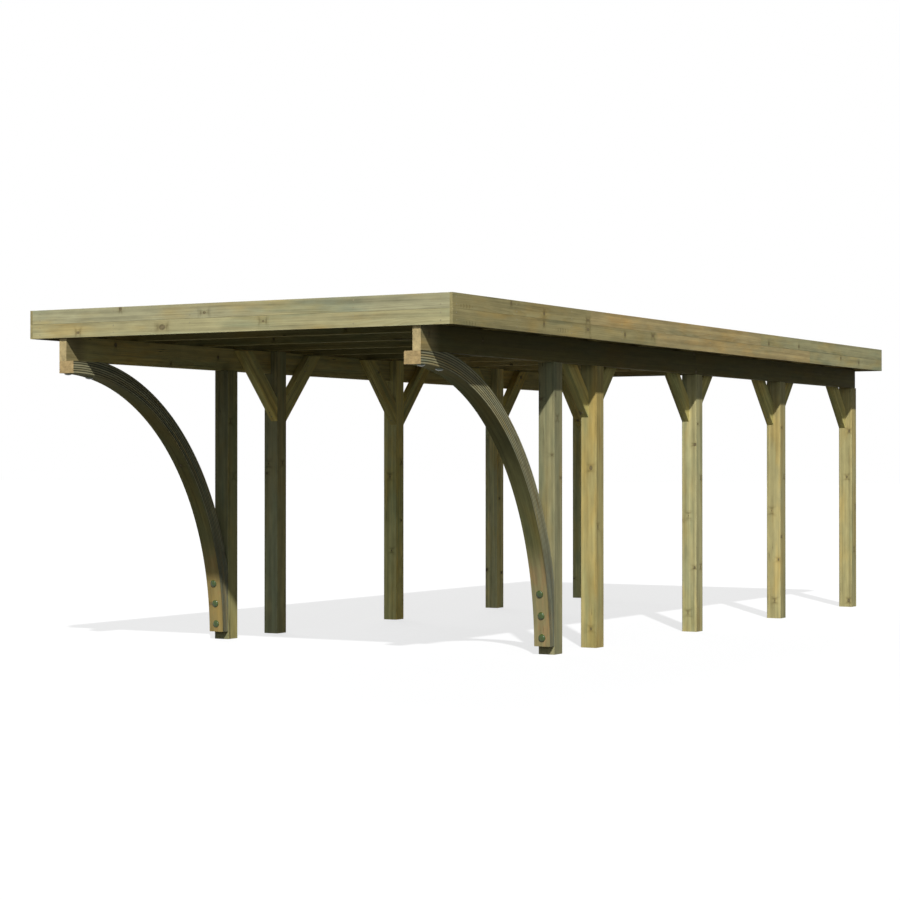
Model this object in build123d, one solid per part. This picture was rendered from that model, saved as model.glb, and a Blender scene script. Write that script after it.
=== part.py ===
from build123d import *
import math
import os

# Timber carport with curved entrance arches.
#
# Ten square posts in two rows carry a flat roof. Each row has a beam half
# lapped over the middle post. It rests on the first post and is let into the
# notched heads of the others, with diagonal head braces beside it. A laminated
# arch springs from the foot of each first post to the front end of the beam,
# in place of a front post. Rafters cross the two beams and carry profiled
# metal sheets, and two-board fascias run all round.
#
# Frame: millimetres, +Z up, +X across the roof, +Y from the entrance to the
# rear. The origin is on the ground, midway across and midway along the roof.

# Roof outline
ROOF_WIDTH = 3136
ROOF_LENGTH = 7412

# Fascias: two boards high all round
FASCIA_THICK = 20
FASCIA_BOARD_HEIGHT = 91
FASCIA_GAP = 0.5
FASCIA_RISE = 48
BOARD_END_GAP = 1
FASCIA_EASE = 1
UPPER_BOARD_FRONT = 4664
LOWER_BOARD_FRONT = 5690

# Posts
POST = 115
SIDE_OVERHANG = 224
SHOULDER_HEIGHT = 1886
FIRST_POST_SETBACK = 1701
SECOND_POST_SETBACK = 2310
POSTS_PER_ROW = 5
EDGE_EASE = 3

# Beams, let into the outer side of the post heads
BEAM_THICK = 57
BEAM_HEIGHT = 160
BEAM_LAP = 115
BEAM_END_SETBACK = 26

# Diagonal head braces, on the inner side of the post heads
BRACE_DEPTH = 115
BRACE_RISE = 492
BRACE_ANGLE = 47
BRACE_TOP_DROP = 14
BRACE_CLEAR = 2

# Rafters across the beams
RAFTERS = 11
RAFTER_THICK = 45
RAFTER_HEIGHT = 120

# Laminated entrance arches
LAMINATIONS = 7
LAMINATION_THICK = 15
ARCH_FOOT_DEPTH = 60
ARCH_HEAD_DEPTH = 78
ARCH_CENTRE_SETBACK = 50
ARCH_CENTRE_HEIGHT = 36
ARCH_FOOT_CLEAR = 55
GLUE_LINE_WIDTH = 3
GLUE_LINE_DEPTH = 2.5

# Profiled roof sheets
SHEETS = 4
RIBS_PER_SHEET = 5
SHEET_THICK = 0.8
RIB_HEIGHT = 20
RIB_BASE = 60
RIB_CROWN = 30
LAP_CLEAR = 0.3
SHEET_CLEAR = 4

# Worked out from the driving dimensions
FRONT = -ROOF_LENGTH / 2
REAR = ROOF_LENGTH / 2
FRAME_FRONT = FRONT + FASCIA_THICK
FRAME_REAR = REAR - FASCIA_THICK
ROW_HALF_WIDTH = ROOF_WIDTH / 2 - SIDE_OVERHANG
ROW_INNER = ROW_HALF_WIDTH - POST
BEAM_INNER = ROW_HALF_WIDTH - BEAM_THICK
BEAM_TOP = SHOULDER_HEIGHT + BEAM_HEIGHT
BEAM_REAR = FRAME_REAR - BEAM_END_SETBACK
RAFTER_TOP = BEAM_TOP + RAFTER_HEIGHT
RAFTER_HALF_LENGTH = ROOF_WIDTH / 2 - FASCIA_THICK
ROOF_TOP = RAFTER_TOP + FASCIA_RISE
ARCH_REACH = FIRST_POST_SETBACK - ARCH_CENTRE_SETBACK - ARCH_FOOT_DEPTH
ARCH_RISE = SHOULDER_HEIGHT - ARCH_CENTRE_HEIGHT - ARCH_HEAD_DEPTH
FASCIA_HEIGHT = 2 * FASCIA_BOARD_HEIGHT + FASCIA_GAP
FASCIA_BOTTOM = ROOF_TOP - FASCIA_HEIGHT


def block(x_range, y_range, z_range):
    """A rectangular solid between three pairs of coordinates."""
    size = [high - low for low, high in (x_range, y_range, z_range)]
    centre = [(low + high) / 2 for low, high in (x_range, y_range, z_range)]
    return Pos(*centre) * Box(*size)


def eased_block(x_range, y_range, z_range, grain, ease):
    """A planed length of timber whose edges along the grain are eased."""
    solid = block(x_range, y_range, z_range)
    return chamfer(solid.edges().filter_by(grain), ease)


def on_side(solid, side):
    """A right-hand piece as it is, or mirrored into the left row."""
    return solid if side == "right" else mirror(solid, about=Plane.YZ)


def post_fronts():
    """The front face of each post: two near the entrance, then equal bays."""
    first = FRONT + FIRST_POST_SETBACK
    second = FRONT + SECOND_POST_SETBACK
    last = FRAME_REAR - POST
    bays = POSTS_PER_ROW - 2
    bay = (last - second) / bays
    return [first] + [second + bay * i for i in range(bays + 1)]


def post(number, front):
    """A post: the first cut square under the beam, the others notched for it."""
    depth = (front, front + POST)
    top = SHOULDER_HEIGHT if number == 1 else BEAM_TOP
    solid = eased_block((ROW_INNER, ROW_HALF_WIDTH), depth, (0, top), Axis.Z, EDGE_EASE)
    if number > 1:
        solid -= block((BEAM_INNER, ROW_HALF_WIDTH), depth, (SHOULDER_HEIGHT, BEAM_TOP))
    return solid


def beam(start, end):
    """A length of the main beam, flush with the outer faces of the posts."""
    thickness = (BEAM_INNER, ROW_HALF_WIDTH)
    return eased_block(thickness, (start, end), (SHOULDER_HEIGHT, BEAM_TOP), Axis.Y, EDGE_EASE)


def beam_lengths(middle):
    """The front and the rear length of the beam, half lapped about a place."""
    thickness = (BEAM_INNER, ROW_HALF_WIDTH)
    lap = (middle - BEAM_LAP / 2, middle + BEAM_LAP / 2)
    half_height = SHOULDER_HEIGHT + BEAM_HEIGHT / 2
    front = beam(FRAME_FRONT, lap[1]) - block(thickness, lap, (half_height, BEAM_TOP))
    rear = beam(lap[0], BEAM_REAR) - block(thickness, lap, (SHOULDER_HEIGHT, half_height))
    return front, rear


def brace(face, limit):
    """A head brace from a post's face up beside the beam, cut short at a limit."""
    direction = math.copysign(1, limit - face)
    cut = BRACE_DEPTH / math.cos(math.radians(BRACE_ANGLE))
    slope = math.tan(math.radians(BRACE_ANGLE))
    top = BEAM_TOP - BRACE_TOP_DROP
    foot = top - BRACE_RISE
    long_reach = BRACE_RISE / slope
    short_reach = (BRACE_RISE - cut) / slope
    outline = Polyline(
        (face, foot),
        (face + direction * long_reach, top),
        (face + direction * short_reach, top),
        (face, foot + cut),
        close=True,
    )
    section = Plane.YZ.offset(ROW_INNER) * make_face(outline)
    solid = extrude(section, amount=BEAM_INNER - ROW_INNER, dir=(1, 0, 0))
    grain = Axis((0, 0, 0), (0, direction, slope))
    solid = chamfer(solid.edges().filter_by(grain), EDGE_EASE)
    room = block((ROW_INNER, BEAM_INNER), (min(face, limit), max(face, limit)), (0, BEAM_TOP))
    return solid & room


def braces(number, fronts):
    """The braces of one post: both ways, and only forward on the last post."""
    front = fronts[number - 1]
    ahead = fronts[number - 2] + POST
    if number > 2:
        ahead = (ahead + front) / 2
    solids = [brace(front, ahead + BRACE_CLEAR)]
    if number < POSTS_PER_ROW:
        behind = (front + POST + fronts[number]) / 2
        solids.append(brace(front + POST, behind - BRACE_CLEAR))
    return solids


def arch_band(inner, outer, foot_face):
    """The quarter-oval band between two offsets from the arch's inner curve."""
    band = Ellipse(ARCH_REACH + outer, ARCH_RISE + outer) - Ellipse(ARCH_REACH + inner, ARCH_RISE + inner)
    band = Pos(FRONT + ARCH_CENTRE_SETBACK, ARCH_CENTRE_HEIGHT) * band
    length = foot_face - FRAME_FRONT
    height = SHOULDER_HEIGHT - ARCH_FOOT_CLEAR
    bay = Pos(FRAME_FRONT + length / 2, ARCH_FOOT_CLEAR + height / 2) * Rectangle(length, height)
    return band & bay


def arch(foot_face):
    """A laminated arch, cut flat against the first post and under the beam."""
    depth = LAMINATIONS * LAMINATION_THICK
    solid = extrude(Plane.YZ.offset(ROW_INNER) * arch_band(0, depth, foot_face), amount=POST, dir=(1, 0, 0))
    for i in range(1, LAMINATIONS):
        middle = i * LAMINATION_THICK
        line = arch_band(middle - GLUE_LINE_WIDTH / 2, middle + GLUE_LINE_WIDTH / 2, foot_face)
        for side_face in (ROW_INNER, ROW_HALF_WIDTH - GLUE_LINE_DEPTH):
            solid -= extrude(Plane.YZ.offset(side_face) * line, amount=GLUE_LINE_DEPTH, dir=(1, 0, 0))
    return solid


def rafter(index):
    """One rafter across both beams, the first and last tight to the fascias."""
    pitch = (FRAME_REAR - FRAME_FRONT - RAFTER_THICK) / (RAFTERS - 1)
    front = FRAME_FRONT + pitch * index
    length = (-RAFTER_HALF_LENGTH, RAFTER_HALF_LENGTH)
    return eased_block(length, (front, front + RAFTER_THICK), (BEAM_TOP, RAFTER_TOP), Axis.X, EDGE_EASE)


def fascia_courses():
    """The height range of the lower and the upper fascia board."""
    lower = (FASCIA_BOTTOM, FASCIA_BOTTOM + FASCIA_BOARD_HEIGHT)
    upper = (ROOF_TOP - FASCIA_BOARD_HEIGHT, ROOF_TOP)
    return lower, upper


def end_fascia(outer_face, inner_face):
    """Two boards across the front or the rear, between the side fascias."""
    faces = (min(outer_face, inner_face), max(outer_face, inner_face))
    length = (-RAFTER_HALF_LENGTH, RAFTER_HALF_LENGTH)
    return [eased_block(length, faces, course, Axis.X, FASCIA_EASE) for course in fascia_courses()]


def side_fascia():
    """Two courses along the right side, each butted from two boards."""
    solids = []
    faces = (RAFTER_HALF_LENGTH, ROOF_WIDTH / 2)
    for course, front_board in zip(fascia_courses(), (LOWER_BOARD_FRONT, UPPER_BOARD_FRONT)):
        joint = FRONT + front_board
        for length in ((FRONT, joint), (joint + BOARD_END_GAP, REAR)):
            solids.append(eased_block(faces, length, course, Axis.Y, FASCIA_EASE))
    return solids


def web_half_width(offset, height):
    """Half width of a rib's web at a height, on a surface offset outwards."""
    run = (RIB_BASE - RIB_CROWN) / 2 / RIB_HEIGHT
    corner = math.tan(math.atan2(1, run) / 2)
    return RIB_CROWN / 2 + offset * corner + (RIB_HEIGHT + offset - height) * run


def sheet_outline(start, end, ribs, laps_under, laps_over, offset):
    """One surface of a sheet, left to right, lifted by an offset."""
    points = []
    stub = RIB_HEIGHT / 2
    lap = SHEET_THICK + LAP_CLEAR
    if laps_over:
        over = offset + lap
        points.append((start - web_half_width(over, stub), stub))
        points.append((start - web_half_width(over, RIB_HEIGHT + over), RIB_HEIGHT + over))
        points.append((start + web_half_width(over, RIB_HEIGHT + over), RIB_HEIGHT + over))
        points.append((start + web_half_width(over, offset), offset))
    else:
        points.append((start, offset))
    for rib in ribs:
        points.append((rib - web_half_width(offset, offset), offset))
        points.append((rib - web_half_width(offset, RIB_HEIGHT + offset), RIB_HEIGHT + offset))
        points.append((rib + web_half_width(offset, RIB_HEIGHT + offset), RIB_HEIGHT + offset))
        points.append((rib + web_half_width(offset, offset), offset))
    if laps_under:
        points.append((end - web_half_width(offset, offset), offset))
        points.append((end - web_half_width(offset, RIB_HEIGHT + offset), RIB_HEIGHT + offset))
        points.append((end + web_half_width(offset, RIB_HEIGHT + offset), RIB_HEIGHT + offset))
        points.append((end + web_half_width(offset, stub), stub))
    else:
        points.append((end, offset))
    return points


def roof_sheet(index):
    """A profiled sheet, laid along the roof and lapped over its left neighbour."""
    half = RAFTER_HALF_LENGTH - SHEET_CLEAR
    cover = 2 * half / SHEETS
    start = -half + cover * index
    end = start + cover
    ribs = [start + cover / RIBS_PER_SHEET * i for i in range(1, RIBS_PER_SHEET)]
    laps_over = index > 0
    laps_under = index < SHEETS - 1
    lower = sheet_outline(start, end, ribs, laps_under, laps_over, 0)
    upper = sheet_outline(start, end, ribs, laps_under, laps_over, SHEET_THICK)
    outline = Polyline(*lower, *reversed(upper), close=True)
    section = Plane.XZ.offset(-(FRAME_FRONT + SHEET_CLEAR)) * (Pos(0, RAFTER_TOP) * make_face(outline))
    length = FRAME_REAR - FRAME_FRONT - 2 * SHEET_CLEAR
    return extrude(section, amount=length, dir=(0, 1, 0))


def save(node, solids):
    """Write one named sub-part."""
    shape = solids[0] if len(solids) == 1 else Compound(children=solids)
    export_step(shape, os.path.join("parts", node + ".step"))


def main():
    os.makedirs("parts", exist_ok=True)
    fronts = post_fronts()
    middle = fronts[POSTS_PER_ROW // 2] + POST / 2
    beam_front, beam_rear = beam_lengths(middle)
    for side in ("left", "right"):
        for number, front in enumerate(fronts, start=1):
            save(f"post_{side}_{number}", [on_side(post(number, front), side)])
            if number > 1:
                save(f"braces_{side}_{number}", [on_side(solid, side) for solid in braces(number, fronts)])
        save(f"beam_{side}_front", [on_side(beam_front, side)])
        save(f"beam_{side}_rear", [on_side(beam_rear, side)])
        save(f"arch_{side}", [on_side(arch(fronts[0]), side)])
        save(f"fascia_{side}", [on_side(solid, side) for solid in side_fascia()])
    save("fascia_front", end_fascia(FRONT, FRAME_FRONT))
    save("fascia_rear", end_fascia(REAR, FRAME_REAR))
    for index in range(RAFTERS):
        save(f"rafter_{index + 1}", [rafter(index)])
    for index in range(SHEETS):
        save(f"roof_sheet_{index + 1}", [roof_sheet(index)])


main()
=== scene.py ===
"""Looks of the timber carport: treated spruce, painted roof sheets and its small fixings."""
import math

import bmesh
import bpy
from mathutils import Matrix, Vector


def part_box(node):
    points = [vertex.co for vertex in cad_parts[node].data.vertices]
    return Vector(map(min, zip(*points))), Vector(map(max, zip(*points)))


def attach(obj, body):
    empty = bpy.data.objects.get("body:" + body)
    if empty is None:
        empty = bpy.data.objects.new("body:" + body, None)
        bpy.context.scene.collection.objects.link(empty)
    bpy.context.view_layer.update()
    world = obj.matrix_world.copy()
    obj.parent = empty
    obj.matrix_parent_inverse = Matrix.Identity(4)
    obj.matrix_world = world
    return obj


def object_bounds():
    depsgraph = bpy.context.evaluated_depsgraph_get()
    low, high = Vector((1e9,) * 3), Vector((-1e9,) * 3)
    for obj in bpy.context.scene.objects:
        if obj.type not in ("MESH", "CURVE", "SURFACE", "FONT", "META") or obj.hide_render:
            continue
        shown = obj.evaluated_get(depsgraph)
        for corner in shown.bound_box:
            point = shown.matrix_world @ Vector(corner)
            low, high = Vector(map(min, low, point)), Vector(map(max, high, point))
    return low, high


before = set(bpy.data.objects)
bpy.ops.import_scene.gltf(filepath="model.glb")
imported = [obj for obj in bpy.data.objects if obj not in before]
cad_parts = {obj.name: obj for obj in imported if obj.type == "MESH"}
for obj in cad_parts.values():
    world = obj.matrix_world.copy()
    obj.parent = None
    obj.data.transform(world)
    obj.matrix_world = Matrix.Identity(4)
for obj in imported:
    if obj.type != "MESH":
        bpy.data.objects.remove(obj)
CAD_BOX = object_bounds()

# Camera and light: places in metres, the lens and its sensor in millimetres, turns in radians
CAMERA_PLACE = (7.923, -14.750, 1.222)
CAMERA_TURN = (math.pi / 2 + 0.00674, 0.0, 0.52337)
CAMERA_LENS = 88.98
CAMERA_SENSOR = 36.0
CAMERA_REACH = 500.0
SUN_FROM = (0.68, -1.0, 1.0)
SUN_STRENGTH = 4.35
SUN_ANGLE = math.radians(1.2)
FILL_FROM = (-0.8, 0.9, 0.7)
FILL_STRENGTH = 1.3
FILL_ANGLE = math.radians(40)
SKY_FROM = (0.50, -1.0, 0.30)
SKY_STRENGTH = 0.78
SKY_ANGLE = math.radians(50)
SKY_COLOUR = (0.90, 1.0, 1.08)
AMBIENT = 0.12
FLOOR_HALF = 120.0
FLOOR_BOUNCE_TONE = (0.090, 0.090, 0.0855)
FLOOR_PALE_TONE = (0.240, 0.240, 0.240)
FLOOR_GLOW = 0.74

# Timber colours, as bare albedo, save where a note says that light or shade is painted into them
# Tones per post. The left row's hold painted light and shade: the first two are darker, painted shade of
# the arch on them, and the last three are lighter than timber in shade would be.
POST_TONES_WITH_PAINTED_LIGHT = {
    "post_left_1": (0.158, 0.154, 0.078),
    "post_left_2": (0.290, 0.276, 0.148),
    "post_left_3": (0.600, 0.555, 0.235),
    "post_left_4": (0.590, 0.556, 0.285),
    "post_left_5": (0.590, 0.545, 0.245),
    "post_right_1": (0.245, 0.225, 0.115),
    "post_right_2": (0.365, 0.306, 0.124),
    "post_right_3": (0.390, 0.348, 0.168),
    "post_right_4": (0.360, 0.315, 0.145),
    "post_right_5": (0.375, 0.330, 0.150),
}
# Painted light and shade on the post faces that look along X: lighter on the left row, most of all on the
# first post, and darker and greyer on the right row
PAINTED_CHEEK_LIGHT = {"left": (1.25, 1.15, 0.95), "right": (0.86, 0.88, 0.92)}
PAINTED_FIRST_CHEEK_LIGHT = {"left": (1.85, 1.72, 1.40), "right": (0.95, 0.97, 1.02)}
# Painted light and shade: the left beams are lighter than their timber, which lights their shaded inner
# faces, and the right beams are near black, which paints the shade under the side fascia's overhang.
BEAM_TONES_WITH_PAINTED_LIGHT = {"left": (0.500, 0.425, 0.165), "right": (0.080, 0.070, 0.022)}
# The front ends of the front beams: on the right beam a painted pool of sunlight at its head, lighter than
# the rest of it; on the left beam the head comes out darker.
PAINTED_BEAM_HEAD_LIGHT = (0.250, 0.205, 0.095)
# Painted light: the left braces, which stand in shade, are lighter than the right ones
BRACE_TONES_WITH_PAINTED_LIGHT = {"left": (0.600, 0.522, 0.190), "right": (0.460, 0.400, 0.145)}
RAFTER_TONE = (0.310, 0.272, 0.105)
REAR_RAFTER_TONE = (0.560, 0.465, 0.200)
FRONT_FASCIA_TONES = ((0.345, 0.312, 0.165), (0.310, 0.292, 0.172))
SIDE_FASCIA_TONES = ((0.268, 0.231, 0.108), (0.339, 0.271, 0.128), (0.279, 0.262, 0.139))
ARCH_FOOT_TONES = {"left": (0.232, 0.181, 0.070), "right": (0.250, 0.210, 0.098)}
# Painted shade on the arch's curved inner face above the sunlit foot: darker and greener than the foot
ARCH_UPPER_PAINTED_SHADE = (0.125, 0.118, 0.047)
ARCH_SIDE_TONE = (0.262, 0.247, 0.146)
ARCH_SIDE_FOOT_TONE = (0.153, 0.165, 0.118)
BEAM_END_TONE = (0.420, 0.330, 0.165)
ARCH_END_TONE = (0.385, 0.278, 0.132)
PATCH_TONE = (0.375, 0.262, 0.105)
KNOT_DARK_TONE = (0.058, 0.046, 0.026)
KNOT_BROWN_TONE = (0.145, 0.110, 0.058)
KNOT_HEART_TONE = (0.190, 0.150, 0.080)
CHECK_TONE = (0.040, 0.032, 0.016)
# Dark glue lines between the arch's laminations, widened by painted shade in the grooves of their eased
# edges
GLUE_LINE_GROOVE_SHADE_TONE = (0.038, 0.036, 0.022)

# What the timber's colour is multiplied by in places
WARM_TINT = (1.16, 0.98, 0.72)
COOL_TINT = (0.74, 0.84, 0.92)
LATE_WOOD_TINT = (0.68, 0.60, 0.46)
KNOT_MARK_TINT = (0.46, 0.42, 0.38)
KNOT_HALO_TINT = (0.74, 0.66, 0.52)
PLANER_TINT = (0.50, 0.46, 0.40)
BLUSH_TINT = (1.12, 0.92, 0.90)

# Roof sheets and fixings. Noise mixes the two tones of a pair.
SHEET_TONES = ((0.040, 0.044, 0.047), (0.052, 0.056, 0.058))
DUST_TONE = (0.165, 0.155, 0.130)
SPECK_TONE = (0.105, 0.105, 0.100)
BOLT_TONES = ((0.024, 0.044, 0.007), (0.052, 0.092, 0.010))
SCREW_TONES = ((0.24, 0.21, 0.12), (0.30, 0.27, 0.15))

# Gloss and relief. A relief is a bump's strength and its depth in metres.
TIMBER_SPECULAR = 0.12
SHEET_SPECULAR = 0.22
TIMBER_RELIEF = (0.7, 0.0006)
SHEET_RELIEF = (0.25, 0.0004)

# The share of the scattered knots that show, fewer where knots are listed one by one
KNOTTINESS = 0.45
KNOTTINESS_PLACED = 0.12
BRACE_KNOTTINESS = 0.40
FASCIA_KNOTTINESS = 0.25
FASCIA_KNOTTINESS_PLACED = 0.10
ARCH_KNOTTINESS = 0.12

# Knots and growth rings: cells of scattered knots to a metre, a knot's size and its forked side marks,
# and the place of the pith outside the timber
KNOT_CELLS_ALONG = 1.9
KNOT_CELLS_ACROSS = 6.5
KNOT_SCATTER = 0.75
KNOT_RADIUS = 0.005
KNOT_RADIUS_SPREAD = 0.008
KNOT_STRETCH = 1.3
KNOT_HALO = 2.4
MARK_SWEEP = 0.40
MARK_HALF_LENGTH = 0.008
MARK_SPREAD = 0.25
MARK_HALF_WIDTH = 0.028
NO_KNOT = 40.0
RING_SPACING = 0.0042
PITH_ACROSS = 0.085
PITH_THROUGH = 0.045
PITH_SPREAD = 0.05

# Knots seen on the fascias: course, place along the board, height, radius, reach of the side marks.
# The course is 0 for the lower boards and 1 for the upper. Places on a side board count from the front.
FRONT_KNOTS = (
    (0, -1.176, 2.062, 0.008, 0.012),
    (0, -0.510, 2.076, 0.017, 0.034),
    (0, 0.250, 2.089, 0.006, 0.020),
    (1, -0.837, 2.200, 0.009, 0.000),
    (1, -0.188, 2.156, 0.008, 0.030),
)
SIDE_KNOTS = (
    (0, 1.131, 2.092, 0.008, 0.000),
    (0, 1.739, 2.090, 0.010, 0.020),
    (0, 2.728, 2.098, 0.009, 0.016),
    (0, 6.398, 2.100, 0.010, 0.000),
    (0, 6.831, 2.080, 0.010, 0.000),
    (1, 0.705, 2.196, 0.007, 0.000),
    (1, 1.132, 2.156, 0.008, 0.000),
    (1, 1.739, 2.150, 0.008, 0.018),
    (1, 4.824, 2.145, 0.010, 0.000),
    (1, 5.451, 2.151, 0.010, 0.000),
)

# Knots seen on the posts: face, height, offset across, radius, reach of the side marks.
# The face is 1 for the front and rear and 0 for the two that look along X.
POST_KNOTS = {
    "post_left_1": ((0, 1.529, -0.030, 0.005, 0.012), (0, 1.143, 0.010, 0.004, 0.012)),
    "post_left_2": ((1, 1.232, -0.020, 0.005, 0.018), (0, 1.236, 0.010, 0.005, 0.012)),
    "post_left_3": (
        (1, 1.129, 0.000, 0.006, 0.018), (1, 0.546, 0.015, 0.005, 0.014),
        (0, 1.247, 0.022, 0.006, 0.012), (0, 0.783, 0.022, 0.006, 0.000),
    ),
    "post_right_1": (
        (1, 1.287, 0.040, 0.005, 0.000), (0, 1.526, -0.014, 0.005, 0.012), (0, 1.139, 0.035, 0.004, 0.000),
    ),
    "post_right_2": (
        (1, 1.203, 0.018, 0.011, 0.014), (1, 0.127, 0.018, 0.007, 0.010), (0, 0.808, -0.033, 0.007, 0.012),
    ),
    "post_right_3": (
        (1, 0.850, -0.006, 0.004, 0.020), (1, 0.472, 0.044, 0.007, 0.006), (1, 0.138, -0.010, 0.004, 0.014),
        (0, 1.524, -0.030, 0.005, 0.000), (0, 1.128, 0.024, 0.005, 0.010), (0, 0.474, 0.017, 0.006, 0.012),
    ),
    "post_right_4": (
        (1, 0.857, -0.016, 0.004, 0.020), (1, 0.469, 0.042, 0.007, 0.006), (1, 0.140, 0.010, 0.004, 0.014),
        (0, 1.520, -0.028, 0.005, 0.000), (0, 1.130, 0.020, 0.005, 0.010),
    ),
    "post_right_5": (
        (1, 1.514, 0.036, 0.009, 0.012), (1, 1.119, 0.014, 0.008, 0.014), (1, 0.056, 0.030, 0.011, 0.012),
        (0, 0.494, 0.000, 0.006, 0.014), (0, 0.861, 0.036, 0.007, 0.012),
    ),
}

# Resin-stained patches and planer marks on the right side boards: course, place, height, half length.
# The single numbers hold for all of a kind. A planer mark is a row of bent strokes at an even pitch.
SIDE_PATCHES = ((1, 2.230, 2.176, 0.26), (0, 3.380, 2.085, 0.14))
SIDE_PLANER_MARKS = ((1, 0.150, 2.142, 0.090), (0, 0.210, 2.045, 0.090), (0, 1.380, 2.066, 0.100))
PATCH_HALF_HEIGHT = 0.022
PATCH_STRENGTH = 0.50
PLANER_HALF_HEIGHT = 0.014
PLANER_STRENGTH = 0.50
PLANER_PITCH = 0.034
PLANER_BEND = 0.006

# Counts, sizes and places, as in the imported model
FRONT = CAD_BOX[0][1]
POSTS_PER_ROW = 5
RAFTERS = 11
SHEETS = 4
RIBS_PER_SHEET = 5
SHEET_THICK = 0.0008
BRACE_ANGLE = math.radians(47)
BRACE_FOOT = 1.540
BEAM_MIDDLE_X = 1.3155

# The arch's inner curve and its laminations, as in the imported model
ARCH_MIDDLE_X = 1.2865
ARCH_REACH = 1.591
ARCH_RISE = 1.772
ARCH_CENTRE_Y = FRONT + 0.050
ARCH_CENTRE_Z = 0.036
LAMINATIONS = 7
LAMINATION_THICK = 0.015

# How far inside the first and last laminations the arch's own faces are taken to lie
LAYER_MARGIN = 0.001

# Fascia boards: the line between the courses, and where the lengths of a side course meet
FASCIA_MIDDLE = 2.1230
BOARD_STEP = 0.0915
UPPER_SPLICE = FRONT + 4.6645
LOWER_SPLICE = FRONT + 5.6905

# Where tones change. A fade starts at its first number and is whole at its second.
UPPER_TONE_CHANGE = FRONT + 1.770
LOWER_TONE_CHANGE = FRONT + 2.790
TONE_CHANGE_FADE = (-0.03, 0.03)
TONE_CHANGE_SWAY = 0.12
PALE_RAFTERS_FROM = 7
# How far from the front the painted sunlight on a front beam's head reaches
PAINTED_BEAM_HEAD_LIGHT_FADE = (0.26, 0.12)
# Heights over which the painted shade on the arch's curve takes over from the foot
ARCH_PAINTED_SHADE_FADE = (0.48, 0.75)
ARCH_SIDE_FADE = (0.45, 0.95)
# Half widths of the dark glue line with its painted groove shade
GLUE_LINE_GROOVE_SHADE_FADE = (0.0048, 0.0020)

# Bolts: heights at an arch's foot, distances from the front under its head, and the size of a head
BOLT_HEIGHTS = (0.110, 0.252, 0.393)
BOLT_SETBACKS = (0.072, 0.280)
BOLT_RADIUS = 0.0245
BOLT_RISE = 0.012
BOLT_RIM = 0.002
BOLT_STEPS = 7
BOLT_SIDES = 28

# Screws: profiles of radius and height pairs, and their places
SCREW_SIDES = 12
SCREW_PROFILE = ((0.0048, -0.0010), (0.0048, 0.0003), (0.0042, 0.0008), (0.0020, 0.0010))
WASHER_PROFILE = ((0.0085, -0.0004), (0.0085, 0.0012), (0.0075, 0.0020))
ROOF_SCREW_PROFILE = WASHER_PROFILE + ((0.0048, 0.0021), (0.0048, 0.0062), (0.0036, 0.0070))
FASCIA_SCREW_OFFSET = 0.022
FASCIA_END_COLUMNS = 6
FASCIA_END_INSET = 0.06
BRACE_HEAD_SCREWS = (0.40, 0.46)
BRACE_FOOT_SCREWS = (0.045, 0.085)
BRACE_SCREW_DEPTH = 0.04
BRACE_SCREW_LIFT = 0.055

# Sockets of the Mix node that carry colours
MIX_FIRST = 6
MIX_SECOND = 7
MIX_RESULT = 2


class Field:
    """A number that varies over a surface. Arithmetic on it adds nodes."""

    def __init__(self, net, socket):
        self.net = net
        self.socket = socket

    def __add__(self, other):
        return self.net.math("ADD", self, other)

    __radd__ = __add__

    def __sub__(self, other):
        return self.net.math("SUBTRACT", self, other)

    def __rsub__(self, other):
        return self.net.math("SUBTRACT", other, self)

    def __mul__(self, other):
        return self.net.math("MULTIPLY", self, other)

    __rmul__ = __mul__

    def __truediv__(self, other):
        return self.net.math("DIVIDE", self, other)

    def __abs__(self):
        return self.net.math("ABSOLUTE", self)

    def above(self, other):
        return self.net.math("GREATER_THAN", self, other)

    def least(self, other):
        return self.net.math("MINIMUM", self, other)

    def most(self, other):
        return self.net.math("MAXIMUM", self, other)

    def floor(self):
        return self.net.math("FLOOR", self)

    def fraction(self):
        return self.net.math("FRACT", self)

    def root(self):
        return self.net.math("SQRT", self)

    def power(self, exponent):
        return self.net.math("POWER", self, exponent)

    def bell(self):
        """1 at zero, falling to nothing past about 2, as a bell curve."""
        return self.net.math("EXPONENT", self * self * -1.0)

    def fade(self, start, end):
        """0 at start and 1 at end, with soft shoulders."""
        node = self.net.add("ShaderNodeMapRange", interpolation_type="SMOOTHSTEP")
        self.net.put(node.inputs["Value"], self)
        node.inputs["From Min"].default_value = min(start, end)
        node.inputs["From Max"].default_value = max(start, end)
        if start > end:
            node.inputs["To Min"].default_value = 1.0
            node.inputs["To Max"].default_value = 0.0
        return Field(self.net, node.outputs[0])


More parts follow.
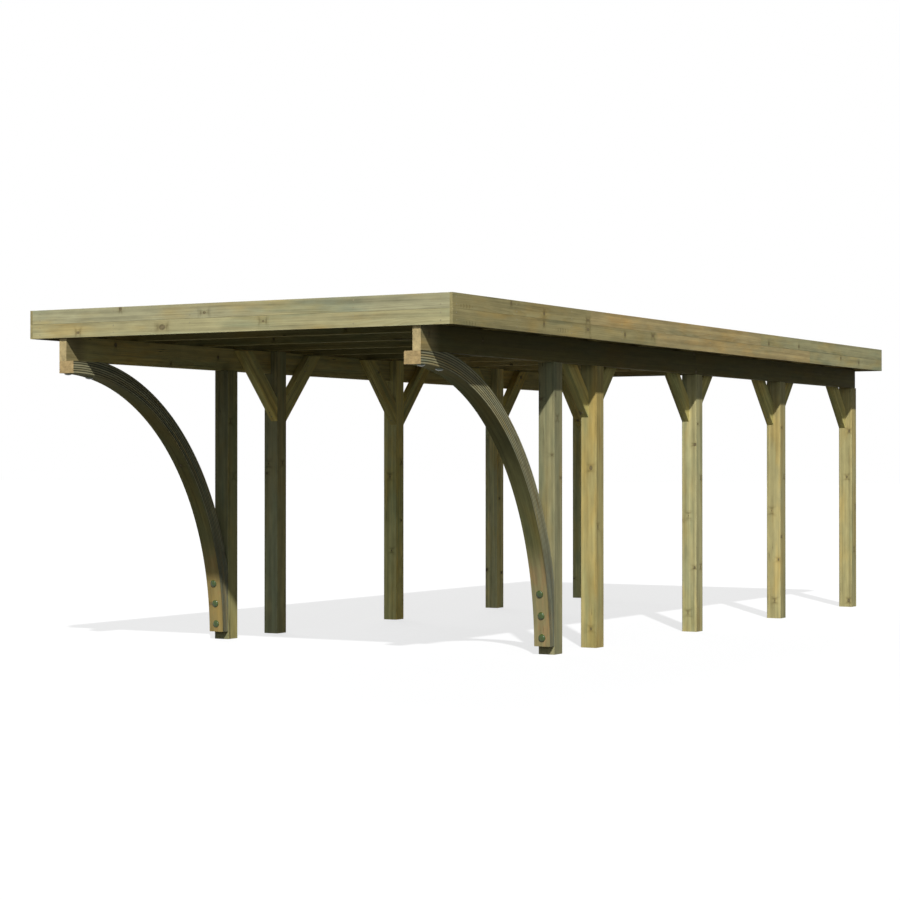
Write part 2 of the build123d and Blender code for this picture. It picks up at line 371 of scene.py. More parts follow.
class Net:
    """Short calls that add nodes to one tree and link them."""

    def __init__(self, tree):
        self.tree = tree

    def add(self, kind, **settings):
        node = self.tree.nodes.new(kind)
        for name, value in settings.items():
            setattr(node, name, value)
        return node

    def put(self, socket, value):
        """Link a field or a socket, or set a plain value."""
        if isinstance(value, Field):
            value = value.socket
        if isinstance(value, bpy.types.NodeSocket):
            self.tree.links.new(value, socket)
        elif isinstance(value, tuple) and len(value) == 3 and socket.type == "RGBA":
            socket.default_value = value + (1.0,)
        else:
            socket.default_value = value

    def math(self, operation, *values):
        node = self.add("ShaderNodeMath", operation=operation)
        for socket, value in zip(node.inputs, values):
            self.put(socket, value)
        return Field(self, node.outputs[0])

    def split(self, vector):
        """The three numbers of a vector."""
        node = self.add("ShaderNodeSeparateXYZ")
        self.put(node.inputs[0], vector)
        return [Field(self, socket) for socket in node.outputs]

    def join(self, x, y, z):
        """A vector from three numbers."""
        node = self.add("ShaderNodeCombineXYZ")
        for socket, value in zip(node.inputs, (x, y, z)):
            self.put(socket, value)
        return node.outputs[0]

    def noise(self, x, y, z, detail=2.0, rough=0.5):
        """Soft noise about 0.5, with one cell to each unit of its coordinates."""
        node = self.add("ShaderNodeTexNoise", noise_dimensions="3D")
        self.put(node.inputs["Vector"], self.join(x, y, z))
        node.inputs["Scale"].default_value = 1.0
        node.inputs["Detail"].default_value = detail
        node.inputs["Roughness"].default_value = rough
        return Field(self, node.outputs[0])

    def scatter(self, x, y, spread):
        """The nearest scattered point: its offset in x and y, and two random numbers."""
        node = self.add("ShaderNodeTexVoronoi", voronoi_dimensions="2D", feature="F1")
        self.put(node.inputs["Vector"], self.join(x, y, 0.0))
        node.inputs["Scale"].default_value = 1.0
        node.inputs["Randomness"].default_value = spread
        point_x, point_y, _ = self.split(node.outputs["Position"])
        first, second, _ = self.split(node.outputs["Color"])
        return x - point_x, y - point_y, first, second

    def mix(self, factor, first, second):
        """A colour between two colours."""
        node = self.add("ShaderNodeMix", data_type="RGBA")
        self.put(node.inputs["Factor"], factor)
        self.put(node.inputs[MIX_FIRST], first)
        self.put(node.inputs[MIX_SECOND], second)
        return node.outputs[MIX_RESULT]

    def tint(self, colour, channels):
        """A colour with each channel multiplied by its own number."""
        node = self.add("ShaderNodeVectorMath", operation="MULTIPLY")
        self.put(node.inputs[0], colour)
        node.inputs[1].default_value = channels
        return node.outputs[0]

    def shade(self, colour, amount):
        """A colour made lighter or darker."""
        node = self.add("ShaderNodeVectorMath", operation="SCALE")
        self.put(node.inputs[0], colour)
        self.put(node.inputs["Scale"], amount)
        return node.outputs[0]

    def bump(self, shader, height, relief):
        """Give a shader a bump, from a height and a relief's strength and depth."""
        strength, depth = relief
        node = self.add("ShaderNodeBump")
        node.inputs["Strength"].default_value = strength
        node.inputs["Distance"].default_value = depth
        self.put(node.inputs["Height"], height)
        self.put(shader.inputs["Normal"], node.outputs[0])

    def seen(self):
        """1 for what the eye sees, straight, in a gloss or through a glass, and 0 for other light."""
        rays = self.add("ShaderNodeLightPath")
        seen = Field(self, rays.outputs["Is Camera Ray"]) + Field(self, rays.outputs["Is Glossy Ray"])
        return (seen + Field(self, rays.outputs["Is Transmission Ray"])).least(1.0)


def knot_ratios(du, dq, radius, reach=0.0):
    """How far a point is from a knot, in core radii and in lengths of its forked side marks."""
    stretched = du / KNOT_STRETCH
    core = (stretched * stretched + dq * dq).root() / radius
    swept = (abs(du) - abs(dq) * MARK_SWEEP - reach) * (1 / (MARK_HALF_LENGTH + reach * MARK_SPREAD))
    aside = dq / MARK_HALF_WIDTH
    marks = (swept * swept + aside * aside).root()
    return core, marks


def timber_group():
    """Treated spruce in the timber's own frame: along, across and through the grain."""
    tree = bpy.data.node_groups.new("timber", "ShaderNodeTree")
    for name, kind in (
        ("Place", "NodeSocketVector"), ("Facing", "NodeSocketVector"), ("Seed", "NodeSocketFloat"),
        ("Base", "NodeSocketColor"), ("End", "NodeSocketColor"), ("Knot", "NodeSocketFloat"),
        ("Knot Marks", "NodeSocketFloat"), ("Knottiness", "NodeSocketFloat"), ("Checks", "NodeSocketFloat"),
    ):
        tree.interface.new_socket(name=name, in_out="INPUT", socket_type=kind)
    for name, kind in (
        ("Colour", "NodeSocketColor"), ("Roughness", "NodeSocketFloat"), ("Height", "NodeSocketFloat"),
    ):
        tree.interface.new_socket(name=name, in_out="OUTPUT", socket_type=kind)
    net = Net(tree)
    given = net.add("NodeGroupInput").outputs
    seed = Field(net, given["Seed"])
    u, v, w = net.split(given["Place"])
    nu, nv, nw = net.split(given["Facing"])
    end_face = abs(nu).fade(0.6, 0.8)
    on_through = abs(nw).above(abs(nv))
    q = w + (v - w) * on_through
    face = on_through * 3.7 + (nv + nw).above(0.0) * 1.9

    # Knots, scattered along each face, and those listed one by one. An end face shows none.
    row = u * KNOT_CELLS_ALONG + seed
    lane = q * KNOT_CELLS_ACROSS + seed * 1.7 + face
    dx, dy, chance, size = net.scatter(row, lane, KNOT_SCATTER)
    knot_radius = KNOT_RADIUS + size * KNOT_RADIUS_SPREAD
    core, marks = knot_ratios(dx / KNOT_CELLS_ALONG, dy / KNOT_CELLS_ACROSS, knot_radius)
    at_end = end_face * NO_KNOT
    hidden = chance.above(Field(net, given["Knottiness"])) * NO_KNOT + at_end
    core = (core + hidden).least(Field(net, given["Knot"]) + at_end)
    marks = (marks + hidden).least(Field(net, given["Knot Marks"]) + at_end)
    halo = (core / KNOT_HALO).bell()

    # Growth rings about a pith outside the timber, bent round the knots
    sway = net.noise(u * 0.55 + seed * 3.1, v * 2.5, w * 2.5 + seed, 2.0)
    wobble = net.noise(u * 2.4 + seed * 1.3, v * 9.0, w * 9.0, 2.0)
    pith_v = v - PITH_ACROSS - (seed * 0.37).fraction() * PITH_SPREAD
    pith_w = w + PITH_THROUGH + (seed * 0.61).fraction() * PITH_SPREAD
    radius = (pith_v * pith_v + pith_w * pith_w).root()
    radius = radius + sway * 0.055 + wobble * 0.010 + halo * 0.012
    spacing = net.noise(radius * 28.0, seed, 0.0, 1.0)
    phase = (radius / RING_SPACING + spacing * 5.0).fraction()
    late = phase.power(2.5) * phase.fade(1.0, 0.9)

    # Streaks, fibres and stains, each with its own cells to a metre along the grain and across it
    broad = net.noise(u * 0.7 + seed, v * 34.0 + seed, w * 34.0, 2.0)
    narrow = net.noise(u * 2.2 + seed, v * 110.0, w * 110.0 + seed, 2.0, 0.6)
    fibre = net.noise(u * 16.0 + seed, v * 900.0, w * 900.0, 2.0, 0.7)
    cloud = net.noise(u * 6.5 + seed * 1.9, v * 26.0, w * 26.0 - seed, 3.0, 0.6)
    patch = net.noise(u * 1.7 + seed * 2.0, v * 6.0, w * 6.0 + seed * 3.0, 3.0, 0.6)
    stain = net.noise(u * 1.1 - seed * 2.0, v * 8.0 + seed, w * 8.0, 3.0, 0.6)

    # Drying checks: fine open lines that follow the grain
    line = net.noise(u * 0.9 + seed * 5.0, q * 55.0 + seed + face, 0.0, 1.0)
    where = net.noise(u * 1.6 - seed * 4.0, q * 9.0 + face, 0.0, 0.0)
    check = abs(line - 0.5).fade(0.010, 0.003) * where.fade(0.62, 0.70) * (1.0 - end_face)
    check = check * Field(net, given["Checks"])

    # Colour: patches, the cut ends, late wood and streaks, then the knots and the checks
    colour = given["Base"]
    colour = net.mix(patch.fade(0.46, 0.70) * 0.75, colour, net.tint(colour, WARM_TINT))
    colour = net.mix(stain.fade(0.48, 0.68) * 0.85, colour, net.tint(colour, COOL_TINT))
    colour = net.mix(end_face * 0.9, colour, given["End"])
    colour = net.mix(late * (0.45 + end_face * 0.10), colour, net.tint(colour, LATE_WOOD_TINT))
    value = 1.0 + (broad - 0.5) * 0.95 + (narrow - 0.5) * 0.60 + (fibre - 0.5) * 0.30 + (cloud - 0.5) * 0.60
    colour = net.shade(colour, value * 1.02)
    feather = net.noise(u * 75.0 + seed, q * 9.0, face, 2.0, 0.6)
    side_marks = marks.bell() * (0.50 + feather.fade(0.42, 0.62) * 0.50)
    colour = net.mix(side_marks * 0.80, colour, net.tint(colour, KNOT_MARK_TINT))
    colour = net.mix(halo * 0.45, colour, net.tint(colour, KNOT_HALO_TINT))
    heart = net.noise(u * 160.0, q * 160.0, seed, 2.0)
    knot_colour = net.mix(heart.fade(0.35, 0.65), KNOT_DARK_TONE, KNOT_BROWN_TONE)
    knot_colour = net.mix(core.fade(0.75, 0.35) * 0.55, knot_colour, KNOT_HEART_TONE)
    colour = net.mix(core.fade(1.35, 0.75) * 0.85, colour, knot_colour)
    colour = net.mix(check * 0.80, colour, CHECK_TONE)

    # Roughness and relief
    rough = 0.80 + (narrow - 0.5) * 0.25 - core.fade(1.15, 0.85) * 0.12
    height = late * 0.25 + fibre * 0.45 + narrow * 0.35 - check * 2.0 + core.fade(1.2, 0.8) * 0.5
    out = net.add("NodeGroupOutput")
    net.put(out.inputs["Colour"], colour)
    net.put(out.inputs["Roughness"], rough)
    net.put(out.inputs["Height"], height)
    return tree


def bare_material(name):
    """A node material with its net, whose one node is the output."""
    material = bpy.data.materials.new(name)
    material.use_nodes = True
    material.node_tree.nodes.clear()
    net = Net(material.node_tree)
    return material, net, net.add("ShaderNodeOutputMaterial")


def new_material(name):
    """A node material with its net and its principled shader."""
    material, net, out = bare_material(name)
    shader = net.add("ShaderNodeBsdfPrincipled")
    net.put(out.inputs["Surface"], shader.outputs[0])
    return material, net, shader


def surface_frame(net):
    """The place and the direction of a surface point, in the object's own frame."""
    coordinates = net.add("ShaderNodeTexCoord")
    return net.split(coordinates.outputs["Object"]), net.split(coordinates.outputs["Normal"])


def finish_timber(
    net, shader, place, facing, seed, base, end, knottiness, knots=(NO_KNOT, NO_KNOT), checks=1.0,
):
    """Feed the timber group and link it to the shader.

    The place and the facing have the grain's own axis first. The seed only keeps a timber from looking
    like its neighbour. The placed knots come as two fields, as nearest_knot gives them.
    """
    group = net.add("ShaderNodeGroup", node_tree=TIMBER)
    net.put(group.inputs["Place"], net.join(*place))
    net.put(group.inputs["Facing"], net.join(*facing))
    net.put(group.inputs["Seed"], seed)
    net.put(group.inputs["Base"], base)
    net.put(group.inputs["End"], end)
    net.put(group.inputs["Knot"], knots[0])
    net.put(group.inputs["Knot Marks"], knots[1])
    net.put(group.inputs["Knottiness"], knottiness)
    net.put(group.inputs["Checks"], checks)
    net.put(shader.inputs["Base Color"], group.outputs["Colour"])
    net.put(shader.inputs["Roughness"], group.outputs["Roughness"])
    shader.inputs["Specular IOR Level"].default_value = TIMBER_SPECULAR
    net.bump(shader, group.outputs["Height"], TIMBER_RELIEF)


def reorder(grain, values):
    """The three numbers with the grain's own axis first."""
    order = {"X": (0, 1, 2), "Y": (1, 0, 2), "Z": (2, 0, 1)}[grain]
    return [values[i] for i in order]


def centre(node):
    """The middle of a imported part's box."""
    low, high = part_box(node)
    return (low + high) / 2


def colour_socket(net, colour):
    """A colour as a socket that further nodes can take."""
    node = net.add("ShaderNodeRGB")
    node.outputs[0].default_value = colour + (1.0,)
    return node.outputs[0]


def nearest_knot(along, across, choice, knots):
    """The nearest of the placed knots, each of which shows on its own course or face only."""
    core, marks = NO_KNOT, NO_KNOT
    for chosen, knot_along, knot_across, radius, reach in knots:
        elsewhere = abs(choice - chosen) * NO_KNOT
        knot_core, knot_marks = knot_ratios(along - knot_along, across - knot_across, radius, reach)
        core = (knot_core + elsewhere).least(core)
        marks = (knot_marks + elsewhere).least(marks)
    return core, marks


def straight_timber(node, grain, seed, base, painted_cheek_light=(1.0, 1.0, 1.0), knots=(), head=None):
    """A straight length of timber, about its own centre line.

    The two faces that look along X can have a tint of painted light or shade, and the front end another
    tone. Placed knots are for upright timber: their heights are above the ground.
    """
    material, net, shader = new_material(f"{node}_timber")
    (x, y, z), facing = surface_frame(net)
    middle = centre(node)
    tone = colour_socket(net, base)
    # Painted light or shade on the two faces that look along X
    tone = net.mix(abs(facing[0]).fade(0.5, 0.9), tone, net.tint(tone, painted_cheek_light))
    # A front beam's head gets its own tone, a painted pool of sunlight on the right beam
    if head:
        tone = net.mix((y - FRONT).fade(*PAINTED_BEAM_HEAD_LIGHT_FADE), tone, head)
    on_front = abs(facing[1]).above(abs(facing[0]))
    place = [x - middle[0], y - middle[1], z - middle[2]]
    across = place[1] + (place[0] - place[1]) * on_front
    found = nearest_knot(z, across, on_front, knots)
    knottiness = KNOTTINESS_PLACED if knots else KNOTTINESS
    place, facing = reorder(grain, place), reorder(grain, facing)
    finish_timber(net, shader, place, facing, seed, tone, BEAM_END_TONE, knottiness, found)
    return material


def fascia_timber(node, grain, seed, tones, knots=(), patches=(), planer_marks=()):
    """Fascia boards: each course, and each length of a course, is a plank of its own.

    A front or rear board has a lower and an upper tone, and a side board has three along its length.
    """
    material, net, shader = new_material(f"{node}_timber")
    (x, y, z), facing = surface_frame(net)
    upper = z.above(FASCIA_MIDDLE)
    plank = upper * 2.3 + seed
    if grain == "X":
        base = net.mix(upper, tones[0], tones[1])
    else:
        change = LOWER_TONE_CHANGE + (UPPER_TONE_CHANGE - LOWER_TONE_CHANGE) * upper
        sway = net.noise(y * 3.0, z * 40.0, seed, 2.0)
        past = y - change + (sway - 0.5) * TONE_CHANGE_SWAY
        base = net.mix(past.fade(*TONE_CHANGE_FADE), tones[0], tones[1])
        rear = y.above(LOWER_SPLICE + (UPPER_SPLICE - LOWER_SPLICE) * upper)
        plank = plank + rear * 5.1
        base = net.mix(rear, base, tones[2])
    along = x if grain == "X" else y - FRONT
    for course, place_along, height, half_length in patches:
        du = (along - place_along) / half_length
        dq = (z - height) / PATCH_HALF_HEIGHT
        edge = net.noise(along * 14.0, z * 55.0, plank, 3.0, 0.6)
        blot = (du * du + dq * dq + (edge - 0.5) * 3.0).fade(1.0, 0.5) * (1.0 - abs(upper - course))
        base = net.mix(blot * PATCH_STRENGTH, base, PATCH_TONE)
    for course, place_along, height, half_length in planer_marks:
        du = (along - place_along) / half_length
        dq = (z - height) / PLANER_HALF_HEIGHT
        arcs = ((along + dq * dq * PLANER_BEND) / PLANER_PITCH).fraction().fade(0.45, 0.95)
        scallop = (du * du + dq * dq).fade(1.1, 0.7) * arcs * (1.0 - abs(upper - course))
        base = net.mix(scallop * PLANER_STRENGTH, base, net.tint(base, PLANER_TINT))
    found = nearest_knot(along, z, upper, knots)
    middle = centre(node)
    place = [x - middle[0], y - middle[1], z - FASCIA_MIDDLE - (upper - 0.5) * BOARD_STEP]
    place, facing = reorder(grain, place), reorder(grain, facing)
    knottiness = FASCIA_KNOTTINESS_PLACED if knots else FASCIA_KNOTTINESS
    finish_timber(net, shader, place, facing, plank, base, base, knottiness, found, checks=0.0)
    return material


def brace_timber(node, post, seed, tone):
    """The braces of one post: the grain runs along each, as it leans away from the post."""
    material, net, shader = new_material(f"{node}_timber")
    (x, y, z), (nx, ny, nz) = surface_frame(net)
    away = y - centre(post)[1]
    side = away.above(0.0) * 2.0 - 1.0
    lean, rise = math.cos(BRACE_ANGLE), math.sin(BRACE_ANGLE)
    foot = z - BRACE_FOOT
    out = away * side
    along = out * lean + foot * rise
    through = foot * lean - out * rise
    facing_out = ny * side
    place = [along, x - centre(node)[0], through]
    facing = [facing_out * lean + nz * rise, nx, nz * lean - facing_out * rise]
    finish_timber(net, shader, place, facing, side * 3.3 + seed, tone, tone, BRACE_KNOTTINESS)
    return material


def arch_timber(side, seed):
    """Bent laminations: each follows the curve and has a tone of its own.

    Reach and rise are those of the oval in the middle of the arch's depth, and offsets count from the
    inner curve.
    """
    material, net, shader = new_material(f"arch_{side}_timber")
    (x, y, z), (nx, ny, nz) = surface_frame(net)
    depth = LAMINATIONS * LAMINATION_THICK
    reach, rise = ARCH_REACH + depth / 2, ARCH_RISE + depth / 2
    dy = y - ARCH_CENTRE_Y
    dz = z - ARCH_CENTRE_Z
    level = dy * dy * (1 / reach**2) + dz * dz * (1 / rise**2)
    pull = dy * dy * (1 / reach**3) + dz * dz * (1 / rise**3)
    offset = (level.root() - 1.0) * level / pull + depth / 2
    kept = offset.most(LAYER_MARGIN).least(depth - LAYER_MARGIN)
    layer = (kept / LAMINATION_THICK).floor()
    through = kept - (layer + 0.5) * LAMINATION_THICK
    angle = net.math("ARCTAN2", dz / rise, dy / reach)
    along = angle * ((reach + rise) / 2)
    ry = dy * (1 / reach**2)
    rz = dz * (1 / rise**2)
    size = (ry * ry + rz * rz).root()
    ry = ry / size
    rz = rz / size
    facing = [nz * ry - ny * rz, nx, ny * ry + nz * rz]
    flank = abs(nx).fade(0.5, 0.8)
    blush = net.noise(along * 7.0 + seed, x * 22.0, 0.5, 2.0).fade(0.48, 0.68)
    foot = colour_socket(net, ARCH_FOOT_TONES[side])
    foot = net.mix(blush * 0.8, foot, net.tint(foot, BLUSH_TINT))
    # Painted shade: the curved face turns dark above the sunlit foot
    painted_shade_curve = net.mix(z.fade(*ARCH_PAINTED_SHADE_FADE), foot, ARCH_UPPER_PAINTED_SHADE)
    side_tone = net.mix(z.fade(*ARCH_SIDE_FADE), ARCH_SIDE_FOOT_TONE, ARCH_SIDE_TONE)
    base = net.mix(flank, painted_shade_curve, side_tone)
    shade = net.noise(layer * 3.7 + seed, 0.5, 0.5, 0.0)
    base = net.shade(base, 0.75 + shade * 0.5)
    # On the arch's sides: painted highlight and shade across each lamination, lighter in its middle and
    # darker towards its eased edges, then the dark glue line with painted shade in its groove
    near_line = abs((kept / LAMINATION_THICK + 0.5).fraction() - 0.5) * LAMINATION_THICK
    base = net.mix(flank * 0.5, base, net.shade(base, 0.75 + near_line * 65.0))
    line = near_line.fade(*GLUE_LINE_GROOVE_SHADE_FADE) * flank
    base = net.mix(line * 0.80, base, GLUE_LINE_GROOVE_SHADE_TONE)
    place = [along, x, through]
    plank = layer * 2.9 + seed
    finish_timber(net, shader, place, facing, plank, base, ARCH_END_TONE, ARCH_KNOTTINESS, checks=0.5)
    return material


def sheet_metal(name):
    """Coated steel: dark, satin, a little dusty in the troughs and streaked down the ribs."""
    material, net, shader = new_material(name)
    (x, y, z), (_, _, nz) = surface_frame(net)
    cloud = net.noise(x * 2.2, y * 0.9, z * 2.0, 4.0, 0.6)
    streak = net.noise(x * 45.0, y * 1.2, 0.0, 3.0, 0.6)
    speck = net.noise(x * 320.0, y * 320.0, z * 320.0, 2.0, 0.7)
    trough = (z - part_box("rafter_1")[1][2]).fade(0.012, 0.001)
    dust = (trough * 0.45 + cloud.fade(0.45, 0.75) * 0.35) * streak.fade(0.30, 0.65) * nz.fade(-0.2, 0.4)
    colour = net.mix(cloud, *SHEET_TONES)
    colour = net.mix(dust, colour, DUST_TONE)
    colour = net.mix(speck.fade(0.60, 0.72) * 0.35, colour, SPECK_TONE)
    net.put(shader.inputs["Base Color"], colour)
    net.put(shader.inputs["Roughness"], 0.52 + dust * 0.30 + (speck - 0.5) * 0.10)
    shader.inputs["Specular IOR Level"].default_value = SHEET_SPECULAR
    net.bump(shader, speck + cloud, SHEET_RELIEF)
    return material


def fixing_metal(name, tones, rough, metallic):
    """A coated or plated fixing, worn a little at random between two tones."""
    material, net, shader = new_material(name)
    (x, y, z), _ = surface_frame(net)
    wear = net.noise(x * 260.0, y * 260.0, z * 260.0, 3.0, 0.6)
    net.put(shader.inputs["Base Color"], net.mix(wear.fade(0.35, 0.70), *tones))
    net.put(shader.inputs["Roughness"], rough + (wear - 0.5) * 0.3)
    shader.inputs["Metallic"].default_value = metallic
    return material


def dress(node, material):
    """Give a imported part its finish."""
    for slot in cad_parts[node].material_slots:
        slot.material = material


def add_head(mesh, place, axis, profile, sides):
    """Turn a profile of radius and height pairs about an axis, closed at both ends."""
    axis = Vector(axis).normalized()
    across = axis.orthogonal().normalized()
    other = axis.cross(across)
    rings = []
    for radius, height in profile:
        ring = []
        for i in range(sides):
            angle = 2 * math.pi * i / sides
            spoke = across * math.cos(angle) + other * math.sin(angle)
            ring.append(mesh.verts.new(Vector(place) + axis * height + spoke * radius))
        rings.append(ring)
    for lower, upper in zip(rings, rings[1:]):
        for i in range(sides):
            j = (i + 1) % sides
            mesh.faces.new((lower[i], lower[j], upper[j], upper[i]))
    mesh.faces.new(list(reversed(rings[0])))
    mesh.faces.new(rings[-1])


def fixings(name, heads, profile, sides, material):
    """One joined piece of many like heads, each a place and an outward axis."""
    mesh = bmesh.new()
    for place, axis in heads:
        add_head(mesh, place, axis, profile, sides)
    data = bpy.data.meshes.new(name)
    mesh.to_mesh(data)
    mesh.free()
    data.materials.append(material)
    for polygon in data.polygons:
        polygon.use_smooth = len(polygon.vertices) == 4
    piece = bpy.data.objects.new(name, data)
    bpy.context.scene.collection.objects.link(piece)
    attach(piece, "root")


def arch_inward(y, z):
    """The direction that the arch's inner face looks in, at a place on its inner curve."""
    return Vector((0.0, -(y - ARCH_CENTRE_Y) / ARCH_REACH**2, -(z - ARCH_CENTRE_Z) / ARCH_RISE**2))


def arch_bolts():
    """Domed bolt heads on the inner curve: three at each foot and two under each head."""
    heads = []
    for side in (-1, 1):
        for z in BOLT_HEIGHTS:
            y = ARCH_CENTRE_Y + ARCH_REACH * math.sqrt(1 - ((z - ARCH_CENTRE_Z) / ARCH_RISE) ** 2)
            heads.append(((side * ARCH_MIDDLE_X, y, z), arch_inward(y, z)))
        for setback in BOLT_SETBACKS:
            y = FRONT + setback
            z = ARCH_CENTRE_Z + ARCH_RISE * math.sqrt(1 - ((y - ARCH_CENTRE_Y) / ARCH_REACH) ** 2)
            heads.append(((side * BEAM_MIDDLE_X, y, z), arch_inward(y, z)))
    profile = [(BOLT_RADIUS, -BOLT_RIM), (BOLT_RADIUS, BOLT_RIM)]
    for step in range(1, BOLT_STEPS):
        turn = step / BOLT_STEPS * math.pi / 2
        height = BOLT_RIM + (BOLT_RISE - BOLT_RIM) * math.sin(turn)
        profile.append((BOLT_RADIUS * math.cos(turn), height))
    fixings("arch_bolts", heads, profile, BOLT_SIDES, BOLT_METAL)


def fascia_screws():
    """Two screws through each fascia board at each rafter, and in columns along the ends."""
    heads = []
    side_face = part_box("fascia_right")[1][0]
    boards = (FASCIA_MIDDLE - BOARD_STEP / 2, FASCIA_MIDDLE + BOARD_STEP / 2)
    heights = [board + step for board in boards for step in (-FASCIA_SCREW_OFFSET, FASCIA_SCREW_OFFSET)]
    for side in (-1, 1):
        for number in range(1, RAFTERS + 1):
            y = centre(f"rafter_{number}")[1]
            heads += [((side * side_face, y, z), (side, 0, 0)) for z in heights]
    low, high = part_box("fascia_front")
    first = low[0] + FASCIA_END_INSET
    span = high[0] - low[0] - 2 * FASCIA_END_INSET
    for face, axis in ((FRONT, -1), (-FRONT, 1)):
        for column in range(FASCIA_END_COLUMNS):
            x = first + span * column / (FASCIA_END_COLUMNS - 1)
            heads += [((x, face, z), (0, axis, 0)) for z in heights]
    fixings("fascia_screws", heads, SCREW_PROFILE, SCREW_SIDES, SCREW_METAL)


def brace_screws():
    """Two screws at the top of each brace into the beam, and two at its foot."""
    heads = []
    lean, rise = math.cos(BRACE_ANGLE), math.sin(BRACE_ANGLE)
    for side, name in ((-1, "left"), (1, "right")):
        for number in range(2, POSTS_PER_ROW + 1):
            low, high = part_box(f"braces_{name}_{number}")
            inner = side * min(abs(low[0]), abs(high[0]))
            middle = (low[0] + high[0]) / 2
            post_low, post_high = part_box(f"post_{name}_{number}")
            ways = [(-1, post_low[1])]
            if number < POSTS_PER_ROW:
                ways.append((1, post_high[1]))
            for way, face in ways:
                for reach in BRACE_HEAD_SCREWS:
                    y = face + way * (reach * lean - BRACE_SCREW_DEPTH * rise)
                    z = low[2] + reach * rise + BRACE_SCREW_DEPTH * lean + BRACE_SCREW_LIFT
                    heads.append(((inner, y, z), (-side, 0, 0)))
                for reach in BRACE_FOOT_SCREWS:
                    place = (middle, face + way * reach * lean, low[2] + reach * rise)
                    heads.append((place, (0, way * rise, -lean)))
    fixings("brace_screws", heads, SCREW_PROFILE, SCREW_SIDES, SCREW_METAL)


def roof_screws():
    """Screws with sealing washers, in the troughs of the sheets over each rafter."""
    heads = []
    first, _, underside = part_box("roof_sheet_1")[0]
    troughs = SHEETS * RIBS_PER_SHEET
    pitch = 2 * abs(first) / troughs
    for number in range(1, RAFTERS + 1):
        y = centre(f"rafter_{number}")[1]
        for trough in range(troughs):
            x = first + pitch * (trough + 0.5)
            heads.append(((x, y, underside + SHEET_THICK), (0, 0, 1)))
    fixings("roof_screws", heads, ROOF_SCREW_PROFILE, SCREW_SIDES, SCREW_METAL)


def floor_material():
    """Near white to the eye with the shadow kept, and darker for the light it throws back."""
    material, net, out = bare_material("floor_pale")
    pale = net.add("ShaderNodeBsdfDiffuse")
    net.put(pale.inputs["Color"], FLOOR_PALE_TONE)
    glow = net.add("ShaderNodeEmission")
    glow.inputs["Strength"].default_value = FLOOR_GLOW
    shown = net.add("ShaderNodeAddShader")
    net.put(shown.inputs[0], pale.outputs[0])
    net.put(shown.inputs[1], glow.outputs[0])
    bounce = net.add("ShaderNodeBsdfDiffuse")
    net.put(bounce.inputs["Color"], FLOOR_BOUNCE_TONE)
    choice = net.add("ShaderNodeMixShader")
    net.put(choice.inputs[0], net.seen())
    net.put(choice.inputs[1], bounce.outputs[0])
    net.put(choice.inputs[2], shown.outputs[0])
    net.put(out.inputs["Surface"], choice.outputs[0])
    return material


def make_floor():
    """A wide flat floor, which isn't part of the object."""
    data = bpy.data.meshes.new("floor")
    half = FLOOR_HALF
    corners = [(-half, -half, 0), (half, -half, 0), (half, half, 0), (-half, half, 0)]
    data.from_pydata(corners, [], [(0, 1, 2, 3)])
    data.materials.append(floor_material())
    floor = bpy.data.objects.new("floor", data)
    bpy.context.scene.collection.objects.link(floor)


def make_sun(name, direction, strength, angle, colour=(1.0, 1.0, 1.0)):
    """A sun lamp that shines from a direction, softer with a wider angle."""
    data = bpy.data.lights.new(name, "SUN")
    data.color = colour
    data.energy = strength
    data.angle = angle
    lamp = bpy.data.objects.new(name, data)
    lamp.rotation_euler = Vector(direction).to_track_quat("Z", "Y").to_euler()
    bpy.context.scene.collection.objects.link(lamp)


def make_world():
    """White to the eye and in reflections, and a low even sky for the light."""
    world = bpy.data.worlds.new("studio")
    bpy.context.scene.world = world
    world.use_nodes = True
    world.node_tree.nodes.clear()
    net = Net(world.node_tree)
    background = net.add("ShaderNodeBackground")
    net.put(background.inputs["Color"], (1.0, 1.0, 1.0))
    net.put(background.inputs["Strength"], net.seen() * (1.0 - AMBIENT) + AMBIENT)
    out = net.add("ShaderNodeOutputWorld")
    net.put(out.inputs["Surface"], background.outputs[0])


def make_camera():
    """The camera at the photo's place, without shift or depth of field."""
    data = bpy.data.cameras.new("camera")
    data.lens = CAMERA_LENS
    data.sensor_width = CAMERA_SENSOR
    data.clip_end = CAMERA_REACH
    camera = bpy.data.objects.new("camera", data)
    camera.location = CAMERA_PLACE
    camera.rotation_euler = CAMERA_TURN
    bpy.context.scene.collection.objects.link(camera)
    bpy.context.scene.camera = camera


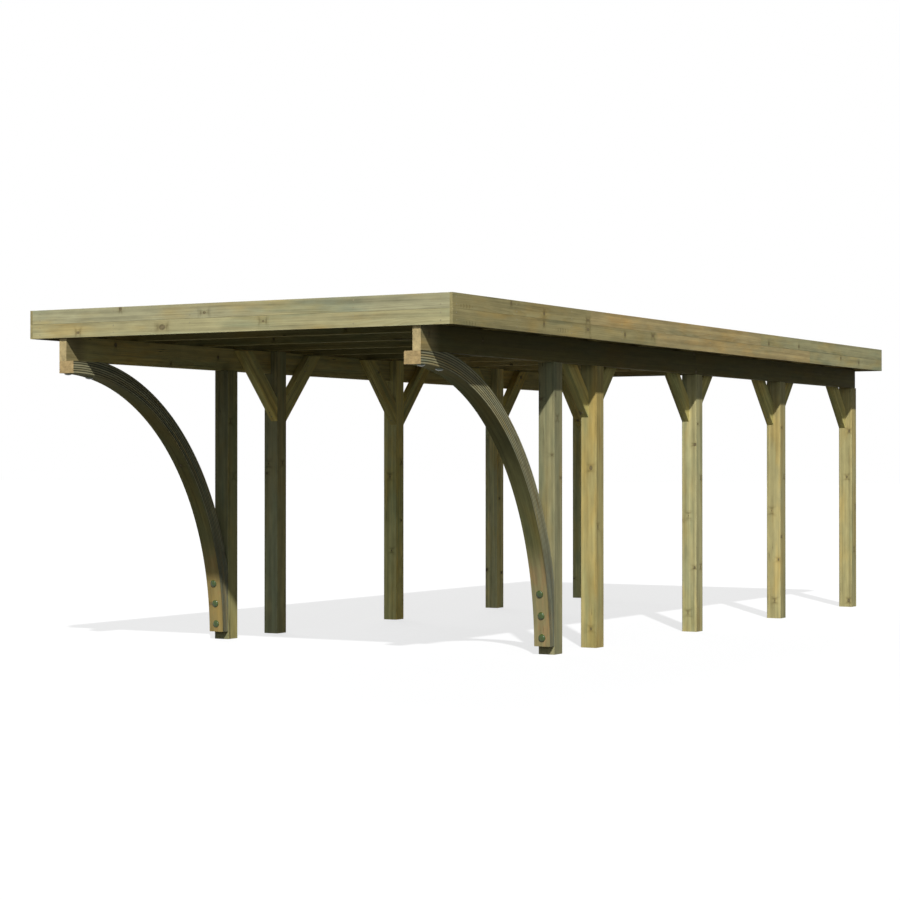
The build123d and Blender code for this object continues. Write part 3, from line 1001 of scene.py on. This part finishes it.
def dress_row(row, side):
    """The finish of one row's posts, braces, beams, arch and side fascia.

    The bare numbers only make seeds that differ from one length of timber to the next.
    """
    for number in range(1, POSTS_PER_ROW + 1):
        seed = row * 7.3 + number * 1.37
        post = f"post_{side}_{number}"
        # Painted light or shade for the post's faces that look along X, strongest on the first post
        painted_cheek_light = (PAINTED_FIRST_CHEEK_LIGHT if number == 1 else PAINTED_CHEEK_LIGHT)[side]
        knots = POST_KNOTS.get(post, ())
        dress(post, straight_timber(post, "Z", seed, POST_TONES_WITH_PAINTED_LIGHT[post], painted_cheek_light, knots))
        if number > 1:
            braces = f"braces_{side}_{number}"
            dress(braces, brace_timber(braces, post, seed + 0.4, BRACE_TONES_WITH_PAINTED_LIGHT[side]))
    for end, shift, head in (("front", 5, PAINTED_BEAM_HEAD_LIGHT), ("rear", 4, None)):
        beam = f"beam_{side}_{end}"
        dress(beam, straight_timber(beam, "Y", row * 2.7 + shift, BEAM_TONES_WITH_PAINTED_LIGHT[side], head=head))
    dress(f"arch_{side}", arch_timber(side, row * 4.1 + 0.6))
    fascia = f"fascia_{side}"
    marks = (SIDE_KNOTS, SIDE_PATCHES, SIDE_PLANER_MARKS) if side == "right" else ()
    dress(fascia, fascia_timber(fascia, "Y", row * 1.9 + 0.8, SIDE_FASCIA_TONES, *marks))


def dress_roof():
    """The finish of the end fascias, the rafters and the roof sheets, with seeds as in a row."""
    dress("fascia_front", fascia_timber("fascia_front", "X", 2.2, FRONT_FASCIA_TONES, FRONT_KNOTS))
    dress("fascia_rear", fascia_timber("fascia_rear", "X", 6.4, FRONT_FASCIA_TONES))
    for number in range(1, RAFTERS + 1):
        rafter = f"rafter_{number}"
        tone = RAFTER_TONE if number < PALE_RAFTERS_FROM else REAR_RAFTER_TONE
        dress(rafter, straight_timber(rafter, "X", number * 2.21, tone))
    metal = sheet_metal("roof_sheet_metal")
    for number in range(1, SHEETS + 1):
        dress(f"roof_sheet_{number}", metal)


make_camera()
make_floor()
make_sun("sun", SUN_FROM, SUN_STRENGTH, SUN_ANGLE)
make_sun("fill", FILL_FROM, FILL_STRENGTH, FILL_ANGLE)
make_sun("open_sky", SKY_FROM, SKY_STRENGTH, SKY_ANGLE, SKY_COLOUR)
make_world()
bpy.context.scene.view_settings.view_transform = "Standard"

TIMBER = timber_group()
BOLT_METAL = fixing_metal("bolt_metal", BOLT_TONES, rough=0.20, metallic=0.0)
SCREW_METAL = fixing_metal("screw_metal", SCREW_TONES, rough=0.70, metallic=0.1)

dress_row(0, "left")
dress_row(1, "right")
dress_roof()

arch_bolts()
fascia_screws()
brace_screws()
roof_screws()
